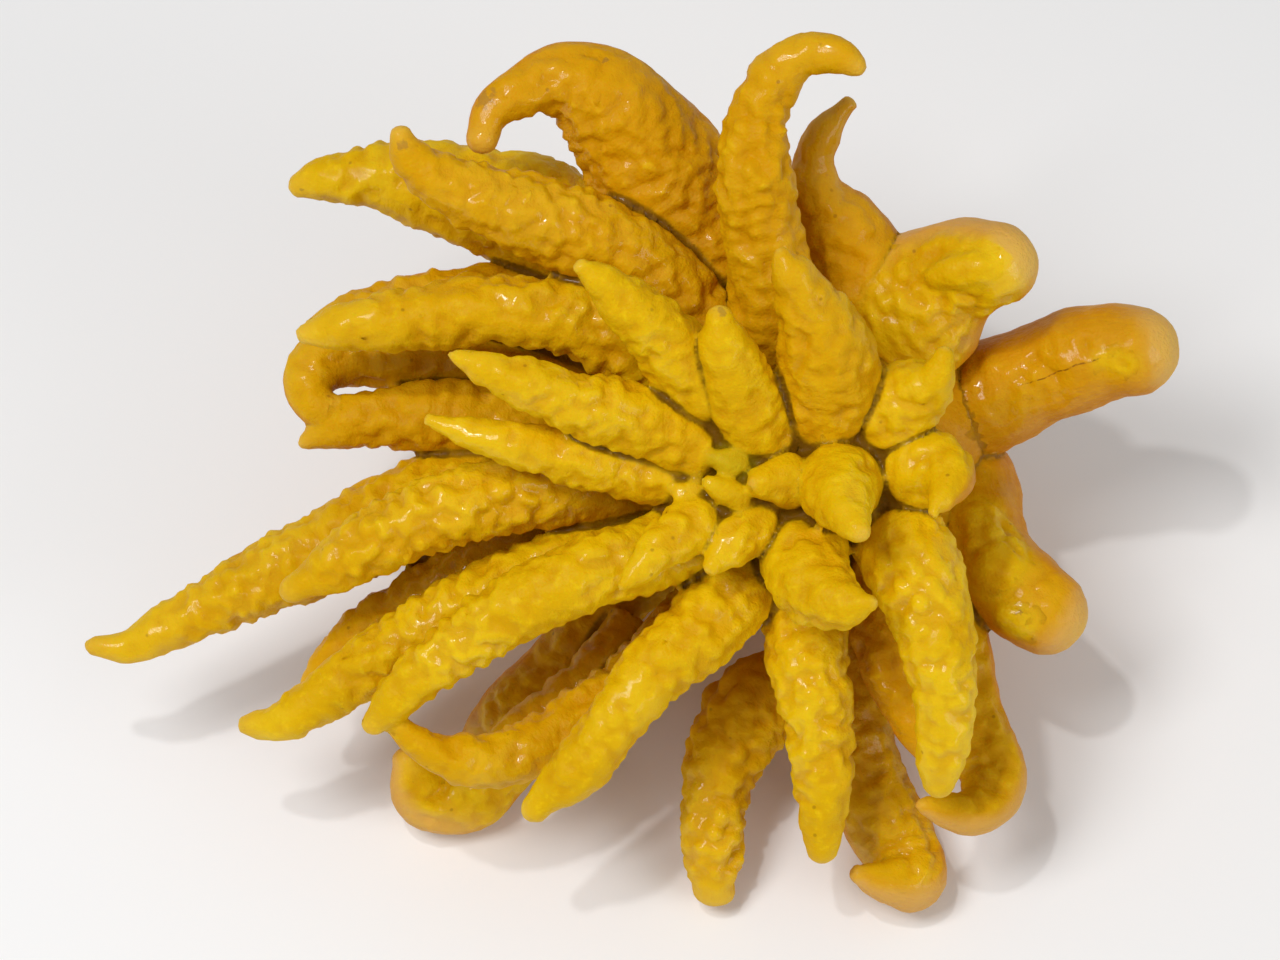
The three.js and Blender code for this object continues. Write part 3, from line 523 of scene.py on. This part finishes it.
to_evened = vectors(knit, "SUBTRACT", blurred(position, 40, "FLOAT_VECTOR"), position)
dent = vectors(knit, "DOT_PRODUCT", to_evened, facing)
kept = store(knit, kept, "hollow", stretch(knit, dent, *DENT))
wobble = out(put(knit, "ShaderNodeTexNoise", {"Vector": position, "Scale": 90.0, "Detail": 3.0}), "Fac")
wobble = sums(knit, "SUBTRACT", wobble, 0.5)
inside = sums(knit, "ADD", blurred(from_forms("inside"), 4), wobble)
reached = blurred(from_forms("skin_reach"), 4)
edge = [sums(knit, "ADD", reached, SKIN_EDGE), sums(knit, "SUBTRACT", reached, SKIN_EDGE)]
kept = store(knit, kept, "outer", stretch(knit, inside, *edge))
kept = store(knit, kept, "skin_reach", reached)
upward = vectors(knit, "DOT_PRODUCT", facing, given.outputs["Face"])
from_heart = vectors(knit, "SUBTRACT", position, given.outputs["Heart"])
height_over = vectors(knit, "DOT_PRODUCT", from_heart, given.outputs["Face"])
outward = vectors(knit, "SUBTRACT", from_heart, vectors(knit, "SCALE", given.outputs["Face"], height_over))
kept = store(knit, kept, "rim", vectors(knit, "DOT_PRODUCT", facing, vectors(knit, "NORMALIZE", outward)))
kept = store(knit, kept, "upward", upward)

straight = stored(knit, "straight", "FLOAT_VECTOR")
wander = put(knit, "ShaderNodeTexNoise", {"Vector": position, "Scale": 130.0, "Detail": 0.0})
wandered = vectors(knit, "MULTIPLY_ADD", out(wander, "Color"), (WANDER,) * 3, straight)


def lumps(size, squeeze):
    """Rounded lumps of about a size, squeezed along the finger so that they stand in rows across it."""
    place = vectors(knit, "DIVIDE", vectors(knit, "MULTIPLY", wandered, (1.0, 1.0, squeeze)), size)
    feeds = {"Vector": place, "Scale": 1.0, "Smoothness": 0.1}
    cells = put(knit, "ShaderNodeTexVoronoi", feeds, feature="SMOOTH_F1")
    return sums(knit, "SUBTRACT", 0.2, sums(knit, "POWER", out(cells, "Distance"), 2.0))


def folds(place, size):
    """Soft folds of about a size, from -0.5 to 0.5."""
    feeds = {"Vector": vectors(knit, "DIVIDE", place, size), "Scale": 1.0, "Detail": 1.0}
    return sums(knit, "SUBTRACT", out(put(knit, "ShaderNodeTexNoise", feeds), "Fac"), 0.5)


small_size = sums(knit, "MULTIPLY", given.outputs["Knob Size"], SMALL_KNOB_SHARE)
small_knobs = sums(knit, "MULTIPLY", lumps(small_size, 1.1), SMALL_KNOB_HEIGHT)
knobs = sums(knit, "ADD", lumps(given.outputs["Knob Size"], 1.3), small_knobs)
wrinkles = folds(vectors(knit, "MULTIPLY", wandered, (0.3, 0.3, 1.0)), given.outputs["Wrinkle Size"])
swell = folds(vectors(knit, "MULTIPLY", wandered, (0.5, 0.5, 1.0)), given.outputs["Swell Size"])
patch = stretch(knit, folds(position, (PATCH_SIZE,) * 3), -0.16, 0.16, 0.65, 1.2)

# The small relief fades on the outer skin, towards each tip, where fingers meet, and on thin fingers.
rough_part = sums(knit, "SUBTRACT", 1.0, sums(knit, "MULTIPLY", stored(knit, "outer"), 0.85))
rough_part = sums(knit, "MULTIPLY", patch, rough_part)
tip_part = stretch(knit, stored(knit, "share"), 0.86, 0.98, 1.0, 0.2)
wrinkle_part = sums(knit, "MULTIPLY", wrinkles, given.outputs["Wrinkle Height"])
small = sums(knit, "MULTIPLY_ADD", knobs, given.outputs["Knob Height"], wrinkle_part)
small = sums(knit, "MULTIPLY", sums(knit, "MULTIPLY", small, rough_part), tip_part)
small = sums(knit, "MULTIPLY", small, sums(knit, "SUBTRACT", 1.0, stored(knit, "meeting")))
small = sums(knit, "MULTIPLY", small, stretch(knit, from_forms("girth"), 3 * MM, 8 * MM, 0.3, 1.0))
kept = store(knit, kept, "relief", blurred(small, 1))
height = sums(knit, "MULTIPLY_ADD", swell, given.outputs["Swell Height"], stored(knit, "relief"))
groove = sums(knit, "MULTIPLY", stored(knit, "meeting"), stretch(knit, stored(knit, "hollow"), 0.02, 0.3))
height = sums(knit, "SUBTRACT", height, sums(knit, "MULTIPLY", groove, given.outputs["Fold Depth"]))
kept = store(knit, kept, "height", height)
lifted = vectors(knit, "MULTIPLY_ADD", facing, stored(knit, "height"), position)

# Where the fruit rests, its skin is pressed flat at the height of the surface.
parts = put(knit, "ShaderNodeSeparateXYZ", {"Vector": lifted})
over_floor = sums(knit, "MAXIMUM", out(parts, "Z"), given.outputs["Floor"])
pressed = put(knit, "ShaderNodeCombineXYZ", {"X": out(parts, "X"), "Y": out(parts, "Y"), "Z": over_floor})
moved = put(knit, "GeometryNodeSetPosition", {"Geometry": kept, "Position": out(pressed)})
soft = put(knit, "GeometryNodeSetShadeSmooth", {"Geometry": out(moved)})
coated = put(knit, "GeometryNodeSetMaterial", {"Geometry": out(soft), "Material": given.outputs["Material"]})
real = put(knit, "GeometryNodeRealizeInstances", {"Geometry": out(coated)})
put(knit, "NodeGroupOutput", {"Geometry": out(real)})


def linear(value):
    """The light that a screen value of 0 to 255 stands for, from 0 to 1."""
    share = value / 255
    return share / 12.92 if value <= 10 else ((share + 0.055) / 1.055) ** 2.4


def colour(red, green, blue):
    """A colour from its screen values, as the shader wants it."""
    return (linear(red), linear(green), linear(blue), 1.0)


def blend(tree, amount, low, high):
    """One colour carried towards another by an amount."""
    feeds = {"Factor": amount, "A": low, "B": high}
    return out(put(tree, "ShaderNodeMix", feeds, data_type="RGBA", clamp_factor=True))


DULL_YELLOW = colour(218, 170, 3)
CLEAR_YELLOW = colour(231, 190, 5)
BRIGHT_FLECK = colour(236, 198, 14)
RIPE_GOLD = colour(208, 145, 3)
OUTER_AMBER = colour(202, 130, 8)
OUTER_FLECK = colour(212, 144, 14)
# Painted shade for the hollows between the knobs, and painted highlight for the knob tops.
KNOB_FOOT_SHADE = colour(204, 142, 3)
KNOB_TOP_HIGHLIGHT = colour(238, 202, 20)
TAN_BLOOM = colour(217, 166, 82)
# Painted shade for the crevices and for the folds between the fingers.
CREVICE_SHADE = colour(116, 78, 3)
FOLD_SHADE = colour(96, 60, 3)
BUD_GREEN = colour(158, 148, 16)
PALE_TIP = colour(234, 194, 84)
SPOT_BROWN = colour(120, 72, 14)
SCUFF_TAN = colour(146, 104, 52)
SEAM_BROWN = colour(118, 66, 8)

rind = bpy.data.materials.new("citron_rind")
rind.use_nodes = True
skin = rind.node_tree
surface = skin.nodes["Principled BSDF"]


def read(name, vector=False):
    """A value that the skin's mesh holds."""
    return out(put(skin, "ShaderNodeAttribute", attribute_name=name), "Vector" if vector else "Fac")


here = out(put(skin, "ShaderNodeTexCoord"), "Object")
outer, hollow, meeting, relief = (read(name) for name in ("outer", "hollow", "meeting", "relief"))
reach, skin_reach, rim, upward = (read(name) for name in ("share", "skin_reach", "rim", "upward"))
green, ripe, scarred = (read(name) for name in ("green", "ripe", "scar"))


def cloudy(scale, detail, roughness):
    """An even, cloudy pattern in the skin."""
    feeds = {"Vector": here, "Scale": scale, "Detail": detail, "Roughness": roughness}
    return out(put(skin, "ShaderNodeTexNoise", feeds), "Fac")


def product(*terms):
    """All the terms multiplied together."""
    total, *others = terms
    for term in others:
        total = sums(skin, "MULTIPLY", total, term)
    return total


# Clear yellow, deeper where a finger is riper, and the outer skin's own amber, laid on thicker as painted
# shade where it turns away.
clouds = cloudy(38.0, 3.0, 0.55)
flecks = cloudy(420.0, 3.0, 0.6)
yellow = blend(skin, stretch(skin, clouds, 0.35, 0.68), DULL_YELLOW, CLEAR_YELLOW)
yellow = blend(skin, stretch(skin, flecks, 0.5, 0.75, 0.0, 0.6), yellow, BRIGHT_FLECK)
yellow = blend(skin, ripe, yellow, RIPE_GOLD)
amber = blend(skin, stretch(skin, flecks, 0.4, 0.7), OUTER_AMBER, OUTER_FLECK)
# Painted shade: the outer skin's amber grows stronger on the sides turned away from the face of the hand.
tint = blend(skin, product(outer, stretch(skin, upward, 0.95, 0.2, 0.35, 0.95)), yellow, amber)
# Painted shade in the hollows between the knobs, and a painted highlight on their tops.
tint = blend(skin, stretch(skin, relief, -0.1 * MM, -0.7 * MM, 0.0, 0.4), tint, KNOB_FOOT_SHADE)
tint = blend(skin, stretch(skin, relief, 0.15 * MM, 0.6 * MM, 0.0, 0.35), tint, KNOB_TOP_HIGHLIGHT)

# A tan bloom towards the ends of the outer fingers, on their sides away from the heart.
bloom = product(stretch(skin, reach, 0.55, 0.7), stretch(skin, skin_reach, 0.05, 0.2))
bloom = product(bloom, stretch(skin, sums(skin, "MULTIPLY_ADD", clouds, 0.8, rim), 0.45, 1.0))
tint = blend(skin, product(bloom, 0.8), tint, TAN_BLOOM)

# Painted shade in brown in the crevices and in the folds between fingers, green in the buds, and pale tips.
deep = product(stretch(skin, hollow, 0.04, 0.45, 0.0, 0.92), stretch(skin, outer, 0.3, 0.9, 1.0, 0.4))
tint = blend(skin, deep, tint, CREVICE_SHADE)
# Painted shade in the folds where fingers meet.
pinched = product(stretch(skin, meeting, 0.35, 0.95), stretch(skin, hollow, 0.0, 0.2))
pinched = product(pinched, stretch(skin, outer, 0.2, 0.8, 1.0, 0.15))
tint = blend(skin, product(pinched, 0.55), tint, FOLD_SHADE)
tint = blend(skin, product(green, 0.42), tint, BUD_GREEN)
tint = blend(skin, product(stretch(skin, reach, 0.9, 1.0), 0.45), tint, PALE_TIP)

# A few brown spots, and the scuffs.
spots = put(skin, "ShaderNodeTexVoronoi", {"Vector": here, "Scale": 210.0})
spot_pick = out(put(skin, "ShaderNodeSeparateXYZ", {"Vector": out(spots, "Color")}), "X")
spot = product(stretch(skin, out(spots, "Distance"), 0.14, 0.05), stretch(skin, spot_pick, 0.84, 0.86))
tint = blend(skin, product(spot, 0.45), tint, SPOT_BROWN)
tint = blend(skin, stretch(skin, product(scarred, flecks), 0.34, 0.5, 0.0, 0.5), tint, SCUFF_TAN)

# The seam where the folded tip has grown on to its own finger: a thin broken line that wanders a little.
SEAM_FROM = Vector((77, 26.6, 0)) * MM
SEAM_TO = Vector((56, 19.6, 0)) * MM
SEAM_FADE = 6 * MM
SEAM_WANDER = 2.4 * MM
out_of_face = laid.to_3x3() @ Vector((0, 0, 1))
seam_way = (laid.to_3x3() @ (SEAM_TO - SEAM_FROM)).normalized()
seam_length = (SEAM_TO - SEAM_FROM).length
from_seam = vectors(skin, "SUBTRACT", here, laid @ SEAM_FROM)
bends = out(put(skin, "ShaderNodeTexNoise", {"Vector": here, "Scale": 160.0, "Detail": 1.0}), "Fac")
off_seam = vectors(skin, "DOT_PRODUCT", from_seam, seam_way.cross(out_of_face))
off_seam = sums(skin, "SUBTRACT", sums(skin, "MULTIPLY_ADD", bends, SEAM_WANDER, off_seam), SEAM_WANDER / 2)
on_seam = stretch(skin, sums(skin, "ABSOLUTE", off_seam), 0.26 * MM, 0.08 * MM)
seam_run = vectors(skin, "DOT_PRODUCT", from_seam, seam_way)
seam_ends = stretch(skin, seam_run, seam_length, seam_length - SEAM_FADE)
seam_level = vectors(skin, "DOT_PRODUCT", from_seam, out_of_face)
within = product(stretch(skin, seam_run, 0.0, 0.5 * MM), seam_ends)
within = product(within, stretch(skin, seam_level, -45 * MM, -42 * MM))
seam = product(on_seam, within, stretch(skin, flecks, 0.42, 0.55, 0.2, 1.0))
tint = blend(skin, product(seam, 0.75), tint, SEAM_BROWN)
skin.links.new(tint, surface.inputs["Base Color"])

# The finest relief: pores and grain all over, cross creases on the inner sides, and hair lines that run
# along the fingers on the outer skin.
CREASE_SCALES = (260.0, 260.0, 760.0)
HAIR_SCALES = (900.0, 900.0, 150.0)
pores = put(skin, "ShaderNodeTexVoronoi", {"Vector": here, "Scale": 900.0})
pore = stretch(skin, out(pores, "Distance"), 0.0, 0.42)
grain = cloudy(620.0, 4.0, 0.6)
along_finger = read("straight", True)
crease_place = {"Vector": vectors(skin, "MULTIPLY", along_finger, CREASE_SCALES), "Scale": 1.0}
creases = out(put(skin, "ShaderNodeTexNoise", {**crease_place, "Detail": 3.0, "Roughness": 0.6}), "Fac")
inner_part = sums(skin, "SUBTRACT", 1.0, product(outer, 0.6))
creases = product(creases, inner_part, sums(skin, "SUBTRACT", 1.0, meeting))
hair_place = {"Vector": vectors(skin, "MULTIPLY", along_finger, HAIR_SCALES), "Scale": 1.0}
hairs = product(outer, out(put(skin, "ShaderNodeTexNoise", {**hair_place, "Detail": 2.0}), "Fac"))
fine = sums(skin, "MULTIPLY_ADD", hairs, 0.6, product(creases, 0.5))
fine = sums(skin, "MULTIPLY_ADD", pore, 0.12, fine)
fine = sums(skin, "MULTIPLY_ADD", grain, 0.6, fine)
bumps = put(skin, "ShaderNodeBump", {"Strength": 0.9, "Distance": 0.6 * MM, "Height": fine})
skin.links.new(out(bumps), surface.inputs["Normal"])

# A waxy skin: it lets a little light in, and its thin coat of wax comes and goes.
skin.links.new(stretch(skin, clouds, 0.3, 0.7, 0.4, 0.52), surface.inputs["Roughness"])
turned_away = out(put(skin, "ShaderNodeLayerWeight", {"Blend": 0.5}), "Facing")
waxy = product(stretch(skin, clouds, 0.42, 0.6, 0.0, 0.5), stretch(skin, turned_away, 0.75, 0.4))
skin.links.new(waxy, surface.inputs["Coat Weight"])
surface.inputs["Subsurface Weight"].default_value = 0.18
surface.inputs["Subsurface Radius"].default_value = (1.0, 0.4, 0.05)
surface.inputs["Subsurface Scale"].default_value = 2.5 * MM
surface.inputs["Coat Roughness"].default_value = 0.1
surface.inputs["Coat IOR"].default_value = 1.38
surface.inputs["Specular IOR Level"].default_value = 0.07

fruit = bpy.data.objects.new("fruit_rind", finger_forms.data.copy())
bpy.context.collection.objects.link(fruit)
close = fruit.modifiers.new("close the skin", "REMESH")
close.mode = "VOXEL"
close.voxel_size = SKIN_GRAIN
ease = fruit.modifiers.new("ease the folds", "SMOOTH")
ease.factor = 0.5
ease.iterations = 3
run_tree(
    fruit,
    knit,
    {
        "Forms": finger_forms,
        "Knob Size": 3.9 * MM,
        "Knob Height": 2.8 * MM,
        "Wrinkle Size": 2.8 * MM,
        "Wrinkle Height": 0.5 * MM,
        "Swell Size": 9.5 * MM,
        "Swell Height": 2.4 * MM,
        "Fold Depth": 0.8 * MM,
        "Face": lean.to_3x3() @ Vector((0, 0, 1)),
        "Heart": heart_at,
        "Floor": fruit_low.z + 0.1 * MM,
        "Material": rind,
    },
)
settle(fruit)
bpy.data.objects.remove(finger_forms)
thin = fruit.modifiers.new("thin the even parts", "DECIMATE")
thin.ratio = min(1.0, MOST_TRIANGLES / (2 * len(fruit.data.polygons)))
settle(fruit)

# Scuffs and scars, each [right, up, radius] on the face of the hand, in millimetres. Each lies where a
# line straight down on to the face first meets the skin, and fades out round its edge.
SCARS = [
    (-67.5, 85, 3.4), (57, -33.6, 1.3), (-14.2, 35.3, 1.7),
    (-86, 73.5, 1.8), (-113, 67.6, 1.4), (-40, 94, 1.6),
]
SCAR_FADE_END = 1.6
OVER_FACE = 200
skin_points = np.empty((len(fruit.data.vertices), 3))
fruit.data.vertices.foreach_get("co", skin_points.ravel())
scars = np.zeros(len(skin_points))
for right, up, radius in SCARS:
    over = laid @ (Vector((right, up, OVER_FACE)) * MM)
    met, place = fruit.ray_cast(over, -out_of_face)[:2]
    if met:
        far = np.linalg.norm(skin_points - np.array(place), axis=1) / (radius * MM)
        scars = np.maximum(scars, np.clip(SCAR_FADE_END - far, 0, 1))
add_values(fruit.data, "scar", scars)

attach(fruit, "root")
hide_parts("fruit")


# The stalk. A woody star-shaped calyx, dull green turning brown, grips the stub of a ridged twig that was
# cut through to the pale wood. Its profile is [height, radius, depth of its five lobes]: the first two are in
# millimetres, and the depth is a share of the radius.
STALK_PROFILE = [
    (0, 0, 0), (0, 5.4, 0), (0.4, 6.3, 0.02), (1.6, 7, 0.06), (2.7, 7.2, 0.1), (3.5, 6.8, 0.12), (4, 6, 0.1),
    (4.5, 4.8, 0.06), (5, 4, 0.04), (6, 3.4, 0.05), (7.5, 3.15, 0.06), (9.2, 3.2, 0.05), (10.4, 3.35, 0.05),
    (10.8, 3.2, 0.04), (10.95, 2.8, 0.02), (10.9, 1.2, 0), (10.85, 0, 0),
]
STALK_SINK = 2.5 * MM
STALK_SIDES = 120
CALYX_LOBES = 5
DEEPEST_LOBE = 0.12
CALYX_SAG = 0.5
CALYX_HEIGHTS = (2, 4.6)
TWIG_RIDGES = 11
TWIG_HEIGHTS = (4.8, 10.7)
RIDGE_HEIGHT = 0.25
RIDGE_TWIST = 0.4
GRAIN_HEIGHT = 0.12
LEAST_REACH = 0.02
stalk_points = []
for height, radius, lobe in STALK_PROFILE:
    on_calyx = CALYX_HEIGHTS[0] < height < CALYX_HEIGHTS[1]
    on_twig = TWIG_HEIGHTS[0] < height < TWIG_HEIGHTS[1]
    for side in range(STALK_SIDES):
        angle = 2 * math.pi * side / STALK_SIDES
        star = math.cos(CALYX_LOBES * angle)
        ridges = RIDGE_HEIGHT * math.cos(TWIG_RIDGES * angle + RIDGE_TWIST * height) if on_twig else 0.0
        grain = GRAIN_HEIGHT * noise.noise(Vector((3 * math.cos(angle), 3 * math.sin(angle), height * 0.8)))
        reach = radius * (1 + lobe * (star + ridges)) + LEAST_REACH + grain
        sag = CALYX_SAG * lobe / DEEPEST_LOBE * star if on_calyx else 0.0
        stalk_points.append(Vector((reach * math.sin(angle), height - sag, reach * math.cos(angle))) * MM)
stalk_mesh = bpy.data.meshes.new("stalk_wood")
stalk_mesh.from_pydata(stalk_points, [], ring_faces(len(STALK_PROFILE), STALK_SIDES))
add_values(stalk_mesh, "height", [point.y for point in stalk_points])
add_values(stalk_mesh, "middle", [math.hypot(point.x, point.z) for point in stalk_points])
away = Vector((0, 1, 0)).rotation_difference(body_axis).to_matrix().to_4x4()
foot = Matrix.Translation(STALK_END - body_axis.normalized() * STALK_SINK)
stalk_mesh.transform(laid @ foot @ away)
stalk_mesh.shade_smooth()
twig = bpy.data.objects.new("stalk_wood", stalk_mesh)
bpy.context.collection.objects.link(twig)

CALYX_GREEN = colour(96, 92, 40)
CALYX_TAN = colour(126, 108, 58)
TWIG_BROWN = colour(92, 66, 36)
CUT_WOOD = colour(196, 170, 118)

wood = bpy.data.materials.new("stalk_wood")
wood.use_nodes = True
bark = wood.node_tree
bark_surface = bark.nodes["Principled BSDF"]
bark_here = out(put(bark, "ShaderNodeTexCoord"), "Object")
bark_height = out(put(bark, "ShaderNodeAttribute", attribute_name="height"), "Fac")
bark_middle = out(put(bark, "ShaderNodeAttribute", attribute_name="middle"), "Fac")
patches = out(put(bark, "ShaderNodeTexNoise", {"Vector": bark_here, "Scale": 420.0, "Detail": 4.0}), "Fac")
bark_tint = blend(bark, stretch(bark, patches, 0.35, 0.65), CALYX_GREEN, CALYX_TAN)
bark_tint = blend(bark, stretch(bark, bark_height, 3 * MM, 6 * MM, 0.0, 0.6), bark_tint, TWIG_BROWN)
cut_top = stretch(bark, bark_height, 10.4 * MM, 10.8 * MM)
cut = sums(bark, "MULTIPLY", cut_top, stretch(bark, bark_middle, 3 * MM, 2.7 * MM))
bark_tint = blend(bark, cut, bark_tint, CUT_WOOD)
bark.links.new(bark_tint, bark_surface.inputs["Base Color"])
bark_bumps = put(bark, "ShaderNodeBump", {"Strength": 0.9, "Distance": 0.5 * MM, "Height": patches})
bark.links.new(out(bark_bumps), bark_surface.inputs["Normal"])
bark_surface.inputs["Roughness"].default_value = 0.78
bark_surface.inputs["Specular IOR Level"].default_value = 0.3
stalk_mesh.materials.append(wood)

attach(twig, "root")
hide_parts("stalk")


# The surface and the light. A plain pale sheet, a broad soft light from the upper left, a weaker and wider
# one from the lower right, and a small lamp that puts the glints on the waxy knobs.
SHEET_REACH = 3.0
SHEET_CORNERS = ((-1, -1), (1, -1), (1, 1), (-1, 1))
sheet_mesh = bpy.data.meshes.new("sheet")
sheet_mesh.from_pydata([(x * SHEET_REACH, y * SHEET_REACH, 0) for x, y in SHEET_CORNERS], [], [(0, 1, 2, 3)])
sheet = bpy.data.objects.new("sheet", sheet_mesh)
bpy.context.collection.objects.link(sheet)
paper = bpy.data.materials.new("pale_sheet")
paper.use_nodes = True
paper_surface = paper.node_tree.nodes["Principled BSDF"]
paper_surface.inputs["Base Color"].default_value = (0.93, 0.93, 0.93, 1)
paper_surface.inputs["Roughness"].default_value = 0.9
sheet_mesh.materials.append(paper)

LIT_MIDDLE = Vector((-20, 0, -40)) * MM


def lamp(name, way, distance, size, watts):
    """A square soft light, set off from the heart in a direction of the face of the hand."""
    data = bpy.data.lights.new(name, "AREA")
    data.size = size
    data.energy = watts
    light = bpy.data.objects.new(name, data)
    place = laid @ (Vector(way).normalized() * distance)
    aim = laid @ LIT_MIDDLE - place
    light.matrix_world = Matrix.LocRotScale(place, aim.to_track_quat("-Z", "Y"), None)
    bpy.context.collection.objects.link(light)


lamp("broad_light", (-0.5, 0.3, 1.0), 1.3, 0.45, 7.8)
lamp("side_light", (0.9, -0.3, 0.8), 1.4, 0.7, 4.6)
lamp("glint_light", (-0.3, 0.5, 1.0), 1.2, 0.05, 2.2)

sky = bpy.data.worlds.new("studio")
sky.use_nodes = True
sky.node_tree.nodes["Background"].inputs["Color"].default_value = (1, 1, 1, 1)
sky.node_tree.nodes["Background"].inputs["Strength"].default_value = 0.38
bpy.context.scene.world = sky
bpy.context.scene.view_settings.view_transform = "Standard"

# The camera looks straight at the face of the hand, from an arm's length.
VIEW_MIDDLE = (-32.2, -2.3)
VIEW_DISTANCE = 900
VIEW_WIDTH = 294.4
SENSOR_WIDTH = 36
camera_data = bpy.data.cameras.new("camera")
camera_data.sensor_width = SENSOR_WIDTH
camera_data.lens = SENSOR_WIDTH * VIEW_DISTANCE / VIEW_WIDTH
camera = bpy.data.objects.new("camera", camera_data)
camera.matrix_world = laid @ Matrix.Translation(Vector((*VIEW_MIDDLE, VIEW_DISTANCE)) * MM)
bpy.context.collection.objects.link(camera)
bpy.context.scene.camera = camera
